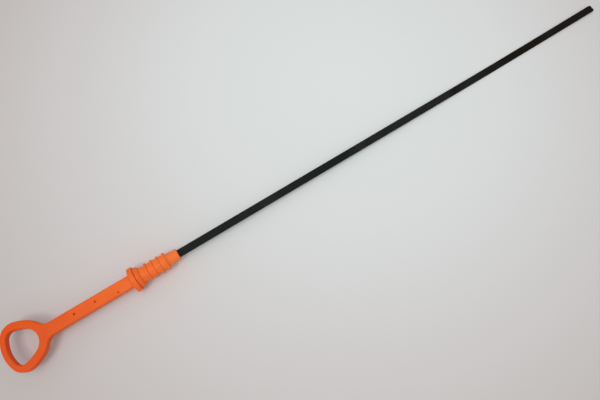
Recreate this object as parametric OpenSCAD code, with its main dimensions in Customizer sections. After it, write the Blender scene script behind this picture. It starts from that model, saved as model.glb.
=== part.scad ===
// Engine oil dipstick, lying as it comes to rest: on the rim of its collar and on the bend of its blade.
// Every piece is drawn along the plug's own axis first. There X runs from the collar's seat towards the
// blade's tip, Z is up and x = 0 is the seat, the face that stops on the mouth of the guide tube.

/* [Blade] */
// Width of the blade
blade_w = 6.2; // [5.6:0.1:7]
// Thickness of the blade
blade_t = 1; // [0.8:0.1:1.4]
// Rounding along the blade's four long edges
blade_edge_r = 0.3; // [0.1:0.05:0.35]
// Length of blade that shows, from the nose to the tip
blade_len = 418; // [380:1:480]
// Length of blade that is held inside the plug
tang_len = 20; // [14:1:26]
// Clearance on each side of the blade in its socket
socket_gap = 0.03; // [0.02:0.01:0.1]
// Rounding of the two corners at the tip
tip_corner_r = 1.2; // [0.5:0.1:2.4]
// Straight length of blade between the nose and the bend
bend_start = 260; // [220:5:290]
// Length of blade over which the bend is spread
bend_len = 100; // [70:5:120]
// Angle that the blade has taken upwards over the bend
bend_angle = 2.5; // [1:0.25:2.75]

/* [Nose] */
// Diameter at the end of the nose
nose_d = 9; // [8.8:0.1:9.4]
// Diameter of the nose where it meets the plug
nose_base_d = 9.6; // [9.4:0.1:10.6]
// Length of the nose
nose_len = 8; // [5:0.5:12]
// Rounding at the end of the nose
nose_edge_r = 0.9; // [0.3:0.1:1]
// Length of the cone between nose and plug
cone_len = 1.4; // [0.8:0.2:3]

/* [Sealing plug] */
// Diameter of the plug between its fins
core_d = 12; // [11:0.1:12.5]
// Diameter of the sealing fins
fin_d = 14.2; // [13:0.1:15]
// Number of fins
fin_count = 4; // [2:1:4]
// Distance from one fin to the next
fin_pitch = 5; // [4:0.25:5.25]
// Distance from the seat to the first fin
fin_gap = 5.8; // [3:0.2:7]
// Thickness of a fin at its rim
fin_rim_t = 0.9; // [0.6:0.1:1.2]
// Thickness of a fin at its root
fin_root_t = 1.7; // [1.3:0.1:2.2]
// Length of the plug from the seat to the cone
core_len = 21.8; // [21.8:0.2:26]

/* [Collar] */
// Diameter of the collar's wide ring
collar_d = 19.4; // [18.2:0.1:22]
// Length of the wide ring's rim
collar_rim_len = 3; // [1.6:0.1:4]
// Length of the cone behind the wide ring
collar_back_len = 1.4; // [0.8:0.1:3]
// Diameter where that cone ends on the stem
collar_back_d = 11; // [10.6:0.1:12]
// Diameter of the collar's narrow ring, next to the seat
step_d = 16.6; // [15.5:0.1:17.4]
// Length of the narrow ring's rim
step_rim_len = 2.6; // [1.5:0.1:4]
// Length of the cone between the seat and that rim
step_lead_len = 1.8; // [1:0.1:2.4]
// Outer diameter of the flat seat
seat_d = 14.2; // [12.8:0.1:15]
// Width of the groove between the two rings
groove_w = 0.7; // [0.4:0.1:1.2]
// Depth of the groove below the narrow ring
groove_depth = 0.6; // [0.2:0.1:1]
// Rounding of the wide ring's front shoulder
shoulder_r = 0.6; // [0.2:0.1:0.8]

/* [Stem] */
// Width of the stem
stem_w = 9.8; // [9.2:0.1:10.2]
// Thickness of the stem and the finger loop
stem_t = 6.4; // [5.6:0.1:6.6]
// Rounding along the edges of the stem and the loop
edge_r = 1.2; // [0.6:0.1:1.8]
// Straight length of the stem, from the collar to the neck of the loop
stem_len = 61; // [50:1:80]
// Diameter of the two pin holes on the stem's middle line
pin_d = 1.9; // [1.2:0.1:2.4]
// Diameter of the small pin hole near the collar
small_pin_d = 1.6; // [1:0.1:2]
// Depth of the pin holes
pin_depth = 1.6; // [0.8:0.1:2.4]
// Distance from the collar to the small pin hole
small_pin_x = 9.2; // [6:0.2:14]
// Distance of the small pin hole from the middle line
small_pin_y = -2.8; // [-3:0.1:3]
// Distance from the collar to the first large pin hole
pin_x = 26.4; // [20:0.2:30]
// Distance between the two large pin holes
pin_pitch = 16.5; // [10:0.5:18]

/* [Finger loop] */
// Width of the bar around the stem's end of the hole and along its two sides
bar_w = 6.1; // [5.4:0.1:7]
// Width of the bar across the far end, in line with the stem
end_bar_w = 4.4; // [3.6:0.1:6]
// Length of the finger hole along the stem's line
hole_len = 22; // [20:0.1:24]
// Radius of the hole at the stem's end
apex_r = 10.5; // [9.5:0.1:11.5]
// Radius of the hole's two long sides
side_r = 27.5; // [24:0.5:34]
// Radius of the hole's two far corners
corner_r = 5.3; // [4.6:0.1:6]
// Distance between the centres of the two far corners
corner_gap = 15.2; // [13.6:0.2:16]
// Radius of the hole's far end
base_r = 26; // [22:1:40]
// Radius of the two fillets between the stem and the loop
neck_r = 8; // [5:0.5:12]

/* [Hidden] */
$fn = 96;
orange = "#EA6329";
black = "#24272A";

// Stations along the plug's own axis, measured from the seat
nose_x = core_len + cone_len;
nose_end_x = nose_x + nose_len;
step_back_x = -step_lead_len - step_rim_len;
rim_front_x = step_back_x - groove_w - shoulder_r;
rim_back_x = rim_front_x - collar_rim_len;
collar_end_x = rim_back_x - collar_back_len;

// The blade's middle line: root, start of the bend, its radius and the two ends of the last straight run
root_x = nose_end_x - tang_len;
bend_x = nose_end_x + bend_start;
bend_r = bend_len * 180 / (PI * bend_angle);
run_x = bend_x + bend_r * sin(bend_angle);
run_z = bend_r * (1 - cos(bend_angle));
run_len = blade_len - bend_start - bend_len;
tip_x = run_x + run_len * cos(bend_angle);
tip_z = run_z + run_len * sin(bend_angle);
bend_steps = 16;

// Finger loop, in a frame whose x runs from the collar's end away from the blade. The hole and the
// outline are both made of arcs that meet at a tangent: an apex, two sides, two corners and a base. All
// arcs but the outline's corners share the centres of the hole's.
apex_out_r = apex_r + bar_w;
neck_y = stem_w / 2 + neck_r;
apex_x = stem_len + sqrt(pow(apex_out_r + neck_r, 2) - neck_y * neck_y);
hole_end_x = apex_x - apex_r + hole_len;
base_x = hole_end_x - base_r;
corner_y = corner_gap / 2;
corner_x = base_x + sqrt(pow(base_r - corner_r, 2) - corner_y * corner_y);
side_c = arc_centre([apex_x, 0], side_r - apex_r, [corner_x, corner_y], side_r - corner_r);
neck_dir = atan2(neck_y, stem_len - apex_x);
apex_dir = heading(side_c, [apex_x, 0]);
corner_dir = heading(side_c, [corner_x, corner_y]);
base_dir = heading([base_x, 0], [corner_x, corner_y]);
corner_out_r = corner_r + (bar_w + end_bar_w) / 2;
corner_out_c = arc_centre(side_c, side_r + bar_w - corner_out_r,
    [base_x, 0], base_r + end_bar_w - corner_out_r);
corner_out_dir = heading(side_c, corner_out_c);
base_out_dir = heading([base_x, 0], corner_out_c);

// How the dipstick lies: a line that touches the collar's rim and the underside of the blade's bend is
// level. Where the bend is too weak to reach the table, the tip takes its place.
rim_to_bend_x = bend_x - rim_front_x;
rim_to_bend_z = bend_r + collar_d / 2;
under_r = bend_r + blade_t / 2;
bend_lean = atan2(rim_to_bend_z, rim_to_bend_x)
    - asin(under_r / norm([rim_to_bend_x, rim_to_bend_z]));
tip_under = [tip_x + blade_t / 2 * sin(bend_angle), tip_z - blade_t / 2 * cos(bend_angle)];
tip_lean = atan2(tip_under[1] + collar_d / 2, tip_under[0] - rim_front_x);
lean = bend_lean < bend_angle ? bend_lean : tip_lean;
lift = rim_front_x * sin(lean) + collar_d / 2 * cos(lean);
loop_end_x = collar_end_x - hole_end_x - end_bar_w;
middle_x = (tip_x * cos(lean) + tip_z * sin(lean) + loop_end_x * cos(lean)) / 2;

// Direction from one point to another, in degrees
function heading(a, b) = atan2(b[1] - a[1], b[0] - a[0]);

// Centre of the arc that lies ra from point a and rb from point b, on the far side of the loop's line
function arc_centre(a, ra, b, rb) =
    let (d = norm(b - a), u = (b - a) / d, k = (ra * ra - rb * rb + d * d) / (2 * d))
    a + u * k + [u[1], -u[0]] * sqrt(ra * ra - k * k);

// Points along an arc, without its last one, so that the next arc can start there
function arc(c, r, from, to, steps) =
    [for (i = [0:steps - 1]) let (a = from + (to - from) * i / steps) c + r * [cos(a), sin(a)]];

// Whole outline from its half above the stem's line: out along the lower side, and back along the upper
function both_sides(half) = concat(
    [for (p = half) [p[0], -p[1]]],
    [for (i = [len(half) - 1:-1:0]) if (abs(half[i][1]) > 0.001) half[i]]);

// Outline of stem, neck and loop, drawn in by s
function grip_outline(s) = both_sides(concat(
    [[-collar_back_len - collar_rim_len, stem_w / 2 - s]],
    arc([stem_len, neck_y], neck_r + s, -90, neck_dir - 180, 10),
    arc([apex_x, 0], apex_out_r - s, neck_dir, apex_dir, 4),
    arc(side_c, side_r + bar_w - s, apex_dir, corner_out_dir, 14),
    arc(corner_out_c, corner_out_r - s, corner_out_dir, base_out_dir, 16),
    arc([base_x, 0], base_r + end_bar_w - s, base_out_dir, 0, 6),
    [[hole_end_x + end_bar_w - s, 0]]));

// Outline of the finger hole, widened by s
function hole_outline(s) = both_sides(concat(
    arc([apex_x, 0], apex_r + s, 180, apex_dir, 10),
    arc(side_c, side_r + s, apex_dir, corner_dir, 12),
    arc([corner_x, corner_y], corner_r + s, corner_dir, base_dir, 10),
    arc([base_x, 0], base_r + s, base_dir, 0, 6),
    [[hole_end_x + s, 0]]));

// Rounded edges below and above, as [how far the outline is drawn in, height]
edge_steps = [for (side = [-1, 1], i = [0:5]) let (a = side * (side < 0 ? 5 - i : i) * 18)
    [edge_r * (1 - cos(a)), side * (stem_t / 2 - edge_r) + edge_r * sin(a)]];

// The same for the hole, carried past both faces
hole_steps = concat([[edge_r, -stem_t]], edge_steps, [[edge_r, stem_t]]);

// Section of the blade, drawn out by gap, as points [across, up]
function blade_section(w, gap) = [for (q = [[1, 1], [-1, 1], [-1, -1], [1, -1]], i = [0:4])
    let (a = (q[0] * q[1] > 0 ? i : 4 - i) * 22.5)
    [q[0] * (w / 2 - blade_edge_r + (blade_edge_r + gap) * cos(a)),
     q[1] * (blade_t / 2 - blade_edge_r + (blade_edge_r + gap) * sin(a))]];

// That section standing across the blade's middle line at [x, z], where the line rises at the angle a
function blade_ring(x, z, a, w, gap = 0) =
    [for (p = blade_section(w, gap)) [x - p[1] * sin(a), p[0], z + p[1] * cos(a)]];

// Triangles that close a ring of n points, each across from one side of the ring to the other
function ring_cap(n) = [for (j = [0:floor((n - 3) / 2)]) let (k = n - 1 - j)
    each concat([[j, j + 1, k]], j + 2 < k ? [[j + 1, k - 1, k]] : [])];

// Solid through a list of rings with as many points each, all in the same sense
module loft(rings) {
    n = len(rings[0]);
    last = (len(rings) - 1) * n;
    polyhedron(
        points = [for (ring = rings) each ring],
        faces = concat(
            ring_cap(n),
            [for (f = ring_cap(n)) [last + f[2], last + f[1], last + f[0]]],
            [for (i = [0:len(rings) - 2], j = [0:n - 1]) let (a = i * n + j, b = i * n + (j + 1) % n)
                each [[a, a + n, b + n], [a, b + n, b]]]),
        convexity = 6);
}

// Stem with the finger loop at its end, flat on both faces and rounded along its edges
module grip() {
    difference() {
        loft([for (e = edge_steps) [for (p = grip_outline(e[0])) [p[0], p[1], e[1]]]]);
        loft([for (e = hole_steps) [for (p = hole_outline(e[0])) [p[0], p[1], e[1]]]]);
    }
}

// Blind holes that the mould's pins leave in the stem's upper face
module pin_holes() {
    for (p = [[small_pin_x, small_pin_y, small_pin_d], [pin_x, 0, pin_d], [pin_x + pin_pitch, 0, pin_d]])
        translate([-p[0], p[1], stem_t / 2 - pin_depth]) cylinder(h = pin_depth + 1, d = p[2], $fn = 32);
}

// Half section of nose, fins and collar, as [radius, distance from the seat]
module plug_section() {
    fins = [for (i = [0:fin_count - 1]) let (x = fin_gap + i * fin_pitch) each
        [[core_d / 2, x - fin_root_t / 2], [fin_d / 2, x - fin_rim_t / 2],
         [fin_d / 2, x + fin_rim_t / 2], [core_d / 2, x + fin_root_t / 2]]];
    shoulder = [for (a = [90:-15:0])
        [collar_d / 2 - shoulder_r * (1 - sin(a)), rim_front_x + shoulder_r * cos(a)]];
    nose_end = [for (a = [0:15:90])
        [nose_d / 2 - nose_edge_r * (1 - cos(a)), nose_end_x - nose_edge_r * (1 - sin(a))]];
    polygon(concat(
        [[0, collar_end_x], [collar_back_d / 2, collar_end_x], [collar_d / 2, rim_back_x]],
        shoulder,
        [[step_d / 2 - groove_depth, step_back_x - groove_w],
         [step_d / 2 - groove_depth, step_back_x],
         [step_d / 2, step_back_x],
         [step_d / 2, -step_lead_len],
         [seat_d / 2, 0], [core_d / 2, 0]],
        fins,
        [[core_d / 2, core_len], [nose_base_d / 2, nose_x]],
        nose_end,
        [[0, nose_end_x]]));
}

// The whole orange moulding, before it is laid down
module handle_body() {
    difference() {
        union() {
            rotate([90, 0, 90]) rotate_extrude() plug_section();
            translate([collar_end_x, 0, 0]) rotate([0, 0, 180]) grip();
        }
        loft([for (x = [root_x, nose_end_x + 1]) blade_ring(x, 0, 0, blade_w, socket_gap)]);
        translate([collar_end_x, 0, 0]) pin_holes();
    }
}

// The whole blade, before it is laid down: straight to the bend, along it, and straight to the tip
module blade_body() {
    bend = [for (i = [0:bend_steps]) let (a = bend_angle * i / bend_steps)
        blade_ring(bend_x + bend_r * sin(a), bend_r * (1 - cos(a)), a, blade_w)];
    tip = [for (i = [0:8]) let (a = i * 11.25, l = run_len - tip_corner_r * (1 - sin(a)))
        blade_ring(run_x + l * cos(bend_angle), run_z + l * sin(bend_angle), bend_angle,
                   blade_w - 2 * tip_corner_r * (1 - cos(a)))];
    loft(concat([blade_ring(root_x, 0, 0, blade_w)], bend, tip));
}

// Turns and lifts a piece from the plug's own axis to where the dipstick lies on the table
module laid() {
    translate([-middle_x, 0, lift]) rotate([0, lean, 0]) children();
}

module handle() {
    color(orange) laid() handle_body();
}

module blade() {
    color(black) laid() blade_body();
}

handle();
blade();
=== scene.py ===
# Engine oil dipstick: an orange plastic handle with a finger loop and a finned plug, and its black steel blade.
import math

import bmesh
import bpy
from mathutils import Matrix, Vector


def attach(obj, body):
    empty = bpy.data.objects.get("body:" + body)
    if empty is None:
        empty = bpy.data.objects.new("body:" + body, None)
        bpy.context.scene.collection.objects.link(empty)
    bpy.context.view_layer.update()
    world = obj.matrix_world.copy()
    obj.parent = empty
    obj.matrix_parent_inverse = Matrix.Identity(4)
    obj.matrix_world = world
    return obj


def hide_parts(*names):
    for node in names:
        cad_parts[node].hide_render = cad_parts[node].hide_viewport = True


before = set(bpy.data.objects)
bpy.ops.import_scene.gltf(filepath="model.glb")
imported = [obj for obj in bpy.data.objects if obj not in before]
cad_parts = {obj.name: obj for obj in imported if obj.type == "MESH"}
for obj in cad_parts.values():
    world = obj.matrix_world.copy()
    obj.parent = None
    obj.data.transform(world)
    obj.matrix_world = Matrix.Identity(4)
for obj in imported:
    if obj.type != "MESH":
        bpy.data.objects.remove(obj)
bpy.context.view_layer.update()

MM = 0.001

# The camera, as the photograph was taken: how far it leans from straight down, which way the picture's right
# edge points, how far it is from the table, and the spot on the table under the picture's centre
VIEW_LEAN = math.radians(16)
VIEW_TURN = math.radians(-32.29)
VIEW_DISTANCE = 400 * MM
VIEW_SPOT = (-37.47 * MM, -11.25 * MM)
LENS_MM, SENSOR_MM = 30, 36

# The lamps: where each one hangs in metres (right of the picture's centre, away from the viewer, up), the
# length of its sides in metres and its power in watts. Both face the bright spot, given the same way.
BRIGHT_SPOT = (40 * MM, 110 * MM, 0)
KEY_PLACE, KEY_SIDE, KEY_POWER = (-0.65, -0.9, 2.1), 0.6, 1.15
FILL_PLACE, FILL_SIDE, FILL_POWER = (-0.05, 0.0, 2.2), 1.5, 2.0
LAMP_SPREAD = math.radians(60)
ROOM_COLOUR, ROOM_STRENGTH = "#FFFFFF", 0.53

# The handle's plastic: the size of its grain and of its patches of pigment, how deep the grain looks, how far
# red light travels inside it, and the stretch from the loop, in painted shade, to the nose, in painted sheen
MOULD_GRAIN = 0.9 * MM
PIGMENT_PATCH = 14 * MM
GRAIN_DEPTH = 0.05 * MM
LIGHT_REACH = 0.4 * MM
LOOP_X, NOSE_X = -260 * MM, -145 * MM

# The blade's steel: the width, length and depth of its rolling marks, the size of its patches of oil, and the
# stretch over which they get more common towards the tip
STRIP_GRAIN = 0.8 * MM
MARK_LENGTH_SHARE = 25
MARK_DEPTH = 0.03 * MM
OIL_PATCH = 22 * MM
OIL_X, TIP_OIL_X = 0.0, 240 * MM

# The table: how far it reaches from the middle, and how far from the bright spot its painted falloff of light is
# at its darkest
TABLE_REACH = 3.0
DIM_DISTANCE = 600 * MM

# The plug's seat and axis, and the groove with the wide ring, as distances from the seat along the axis. They
# slide forward together, because the narrow ring in front of them is shorter than the CAD solid's.
PLUG_SEAT = Vector((-170.583, 0, 9.537)) * MM
PLUG_AXIS = Vector((0.99960913, 0, -0.02795689))
RING_BACK, RING_FRONT = -10.3 * MM, -4.3 * MM
RING_SLIDE = 1.7 * MM

# Points closer than the first are one, faces that turn by less than the second are one flat face, and edges
# that turn by more than the third stay sharp
SAME_POINT = 0.001 * MM
FLAT_ANGLE = math.radians(0.3)
SHARP_ANGLE = math.radians(28)


def in_view(right, away, up):
    """A point given from the spot under the picture's centre: to its right, away from the viewer, and up."""
    c, s = math.cos(VIEW_TURN), math.sin(VIEW_TURN)
    return (VIEW_SPOT[0] + c * right - s * away, VIEW_SPOT[1] + s * right + c * away, up)


def linear(code):
    """Linear RGBA from the hex code of a colour as it looks on a screen."""
    parts = [int(code[i : i + 2], 16) / 255 for i in (1, 3, 5)]
    return [p / 12.92 if p <= 0.04045 else ((p + 0.055) / 1.055) ** 2.4 for p in parts] + [1.0]


def add(tree, kind, inputs=None, **settings):
    """Adds a node, with its settings, and with a value or a link for each input that is named or numbered."""
    made = tree.nodes.new(kind)
    for name, value in settings.items():
        setattr(made, name, value)
    for name, value in (inputs or {}).items():
        if isinstance(value, bpy.types.NodeSocket):
            tree.links.new(value, made.inputs[name])
        else:
            made.inputs[name].default_value = value
    return made


def new_material(name):
    """An empty node material, its tree and its output node."""
    material = bpy.data.materials.new(name)
    material.use_nodes = True
    tree = material.node_tree
    tree.nodes.clear()
    return material, tree, tree.nodes.new("ShaderNodeOutputMaterial")


def ramp(tree, factor, stops):
    """The colour from a ramp through (place, hex code) stops."""
    made = add(tree, "ShaderNodeValToRGB", {"Fac": factor})
    points = made.color_ramp.elements
    while len(points) < len(stops):
        points.new(1.0)
    for point, (place, code) in zip(points, stops):
        point.position = place
        point.color = linear(code)
    return made.outputs["Color"]


def moulded_nylon():
    """Nylon (PA66) with orange pigment, moulded in a spark-eroded mould. The fine grain of the mould gives it
    an even satin sheen, and the pigment flows a little unevenly, which gives faint lighter and darker patches.
    The colour is painted darker and redder at the loop, as painted shade where the light falls off, and lighter
    and yellower towards the nose, as painted sheen. The plastic lets a little light in, red the most, which
    softens its grooves and edges."""
    material, tree, out = new_material("PA66 nylon, moulded, orange")
    place = add(tree, "ShaderNodeTexCoord").outputs["Object"]
    patches = add(tree, "ShaderNodeTexNoise", {"Vector": place, "Scale": 1 / PIGMENT_PATCH, "Detail": 3.0})
    uneven = add(tree, "ShaderNodeMapRange", {"Value": patches.outputs["Fac"], "To Min": -0.25, "To Max": 0.25})
    along = add(tree, "ShaderNodeSeparateXYZ", {"Vector": place})
    # Painted light: the colour runs from darker and redder at the loop, painted shade, to lighter and yellower at
    # the nose, painted sheen
    painted_light_falloff = add(tree, "ShaderNodeMapRange", {
        "Value": along.outputs["X"], "From Min": LOOP_X, "From Max": NOSE_X})
    light_falloff_and_pigment = add(tree, "ShaderNodeMath", {0: painted_light_falloff.outputs["Result"], 1: uneven.outputs["Result"]}, operation="ADD")
    colour = ramp(tree, light_falloff_and_pigment.outputs["Value"], [(0.0, "#E85405"), (0.5, "#F3671C"), (1.0, "#FE7E36")])
    # The real grain is about 0.03 mm, too fine to show here, so it is drawn thirty times as coarse.
    grain = add(tree, "ShaderNodeTexNoise", {"Vector": place, "Scale": 1 / MOULD_GRAIN, "Detail": 4.0})
    rough = add(tree, "ShaderNodeMapRange", {"Value": grain.outputs["Fac"], "To Min": 0.4, "To Max": 0.54})
    bump = add(tree, "ShaderNodeBump", {"Height": grain.outputs["Fac"], "Strength": 0.12, "Distance": GRAIN_DEPTH})
    # The grain is finer than it is drawn and takes away some of the sheen, which is matched.
    shader = add(tree, "ShaderNodeBsdfPrincipled", {
        "Base Color": colour, "Roughness": rough.outputs["Result"], "Normal": bump.outputs["Normal"],
        "IOR": 1.53, "Specular IOR Level": 0.2,
        "Subsurface Weight": 0.2, "Subsurface Radius": (1.0, 0.35, 0.1), "Subsurface Scale": LIGHT_REACH})
    tree.links.new(shader.outputs["BSDF"], out.inputs["Surface"])
    return material


def blackened_steel():
    """Spring steel strip, rolled and blackened, with a thin film of old oil. The rolling leaves fine marks along
    the strip. The black is a little green where it is dry, and the oil makes it browner in places, most of all
    towards the tip. The black oxide hides the metal, so it is shaded as a dark coating and not as bare steel."""
    material, tree, out = new_material("Spring steel, rolled and blackened, oily")
    place = add(tree, "ShaderNodeTexCoord").outputs["Object"]
    oil = add(tree, "ShaderNodeTexNoise", {"Vector": place, "Scale": 1 / OIL_PATCH, "Detail": 4.0})
    along = add(tree, "ShaderNodeSeparateXYZ", {"Vector": place})
    tipward = add(tree, "ShaderNodeMapRange", {
        "Value": along.outputs["X"], "From Min": OIL_X, "From Max": TIP_OIL_X, "To Min": 0.0, "To Max": 0.6})
    oily = add(tree, "ShaderNodeMath", {0: tipward.outputs["Result"], 1: oil.outputs["Fac"]}, operation="ADD")
    share = add(tree, "ShaderNodeMapRange", {"Value": oily.outputs["Value"], "From Min": 0.45, "From Max": 1.0})
    colour = ramp(tree, share.outputs["Result"], [
        (0.1, "#111614"), (0.41, "#1F1F1F"), (0.88, "#130C09"), (1.0, "#0F0703")])
    # Real rolling marks are about 0.05 mm wide, too fine to show here, so they are drawn much coarser.
    drawn_out = add(tree, "ShaderNodeMapping", {"Vector": place, "Scale": (1 / MARK_LENGTH_SHARE, 1.0, 1.0)})
    marks = add(tree, "ShaderNodeTexNoise", {
        "Vector": drawn_out.outputs["Vector"], "Scale": 1 / STRIP_GRAIN, "Detail": 4.0})
    rough = add(tree, "ShaderNodeMapRange", {"Value": marks.outputs["Fac"], "To Min": 0.38, "To Max": 0.56})
    bump = add(tree, "ShaderNodeBump", {"Height": marks.outputs["Fac"], "Strength": 0.15, "Distance": MARK_DEPTH})
    # The oxide is porous and takes away some of the sheen, which is matched.
    shader = add(tree, "ShaderNodeBsdfPrincipled", {
        "Base Color": colour, "Roughness": rough.outputs["Result"], "Normal": bump.outputs["Normal"],
        "IOR": 1.4, "Specular IOR Level": 0.17})
    tree.links.new(shader.outputs["BSDF"], out.inputs["Surface"])
    return material


def pale_table():
    """Matt coated board, plain and pale. Its colour is painted darker and warmer away from the bright spot, as a
    painted falloff of the light.
    """
    material, tree, out = new_material("Pale matt board")
    place = add(tree, "ShaderNodeTexCoord").outputs["Object"]
    away = add(tree, "ShaderNodeVectorMath", {0: place, 1: in_view(*BRIGHT_SPOT)}, operation="DISTANCE")
    share = add(tree, "ShaderNodeMapRange", {"Value": away.outputs["Value"], "From Max": DIM_DISTANCE})
    # Painted falloff of light: the board darkens and warms away from the bright spot
    colour = ramp(tree, share.outputs["Result"], [
        (0.0, "#E6EBEA"), (0.22, "#E2E5E4"), (0.4, "#D7D4D3"), (0.56, "#C9C3C1"),
        (0.74, "#BFB7B5"), (1.0, "#B8B0AE")])
    shader = add(tree, "ShaderNodeBsdfPrincipled", {"Base Color": colour, "Roughness": 0.85})
    tree.links.new(shader.outputs["BSDF"], out.inputs["Surface"])
    return material


def along_plug(point):
    """How far a point lies from the plug's seat along the plug's own axis, which leans a little."""
    return (point - PLUG_SEAT).dot(PLUG_AXIS)


def shorter_collar(work):
    """Slides the collar's wide ring towards the blade, level with the table, and so shortens the narrow ring."""
    for vertex in work.verts:
        if RING_BACK < along_plug(vertex.co) < RING_FRONT:
            vertex.co.x += RING_SLIDE


def finished_copy(node, name, material, reshape=None):
    """A copy of a CAD node with its loose triangles merged, its flat faces made whole and its curved faces
    shaded smooth. The function reshape, where there is one, changes its form before the shading."""
    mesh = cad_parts[node].data.copy()
    piece = bpy.data.objects.new(name, mesh)
    bpy.context.scene.collection.objects.link(piece)
    work = bmesh.new()
    work.from_mesh(mesh)
    bmesh.ops.remove_doubles(work, verts=work.verts, dist=SAME_POINT)
    bmesh.ops.dissolve_limit(work, angle_limit=FLAT_ANGLE, verts=work.verts, edges=work.edges)
    if reshape:
        reshape(work)
    work.to_mesh(mesh)
    work.free()
    mesh.materials.clear()
    mesh.materials.append(material)
    mesh.set_sharp_from_angle(angle=SHARP_ANGLE)
    shading = piece.modifiers.new("even shading", "WEIGHTED_NORMAL")
    shading.keep_sharp = True
    evaluated = piece.evaluated_get(bpy.context.evaluated_depsgraph_get())
    final = bpy.data.meshes.new_from_object(evaluated)
    piece.modifiers.clear()
    piece.data = final
    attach(piece, "root")
    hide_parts(node)


def wide_lamp(name, place, side, power):
    """A square area lamp that faces the bright spot and is brightest along its own axis."""
    lamp = bpy.data.lights.new(name, "AREA")
    lamp.shape = "SQUARE"
    lamp.size = side
    lamp.energy = power
    lamp.spread = LAMP_SPREAD
    holder = bpy.data.objects.new(name, lamp)
    holder.location = in_view(*place)
    towards = Vector(in_view(*BRIGHT_SPOT)) - Vector(in_view(*place))
    holder.rotation_euler = towards.to_track_quat("-Z", "Y").to_euler()
    bpy.context.scene.collection.objects.link(holder)


finished_copy("handle", "moulded_handle", moulded_nylon(), shorter_collar)
finished_copy("blade", "steel_blade", blackened_steel())

# The table that the dipstick lies on
corners = [(x * TABLE_REACH, y * TABLE_REACH, 0.0) for x, y in ((-1, -1), (1, -1), (1, 1), (-1, 1))]
table_mesh = bpy.data.meshes.new("table")
table_mesh.from_pydata(corners, [], [(0, 1, 2, 3)])
table_mesh.materials.append(pale_table())
table = bpy.data.objects.new("table", table_mesh)
bpy.context.scene.collection.objects.link(table)

# Even light from the room, a key lamp behind the viewer's left shoulder that casts the soft shadows, and a
# wide fill lamp overhead
world = bpy.data.worlds.new("room")
bpy.context.scene.world = world
world.use_nodes = True
room = world.node_tree.nodes["Background"]
room.inputs["Color"].default_value = linear(ROOM_COLOUR)
room.inputs["Strength"].default_value = ROOM_STRENGTH
wide_lamp("key", KEY_PLACE, KEY_SIDE, KEY_POWER)
wide_lamp("fill", FILL_PLACE, FILL_SIDE, FILL_POWER)

camera = bpy.data.cameras.new("camera")
camera.lens = LENS_MM
camera.sensor_width = SENSOR_MM
viewer = bpy.data.objects.new("camera", camera)
viewer.location = in_view(0, -VIEW_DISTANCE * math.sin(VIEW_LEAN), VIEW_DISTANCE * math.cos(VIEW_LEAN))
viewer.rotation_euler = (VIEW_LEAN, 0, VIEW_TURN)
bpy.context.scene.collection.objects.link(viewer)
bpy.context.scene.camera = viewer
bpy.context.scene.view_settings.view_transform = "Standard"
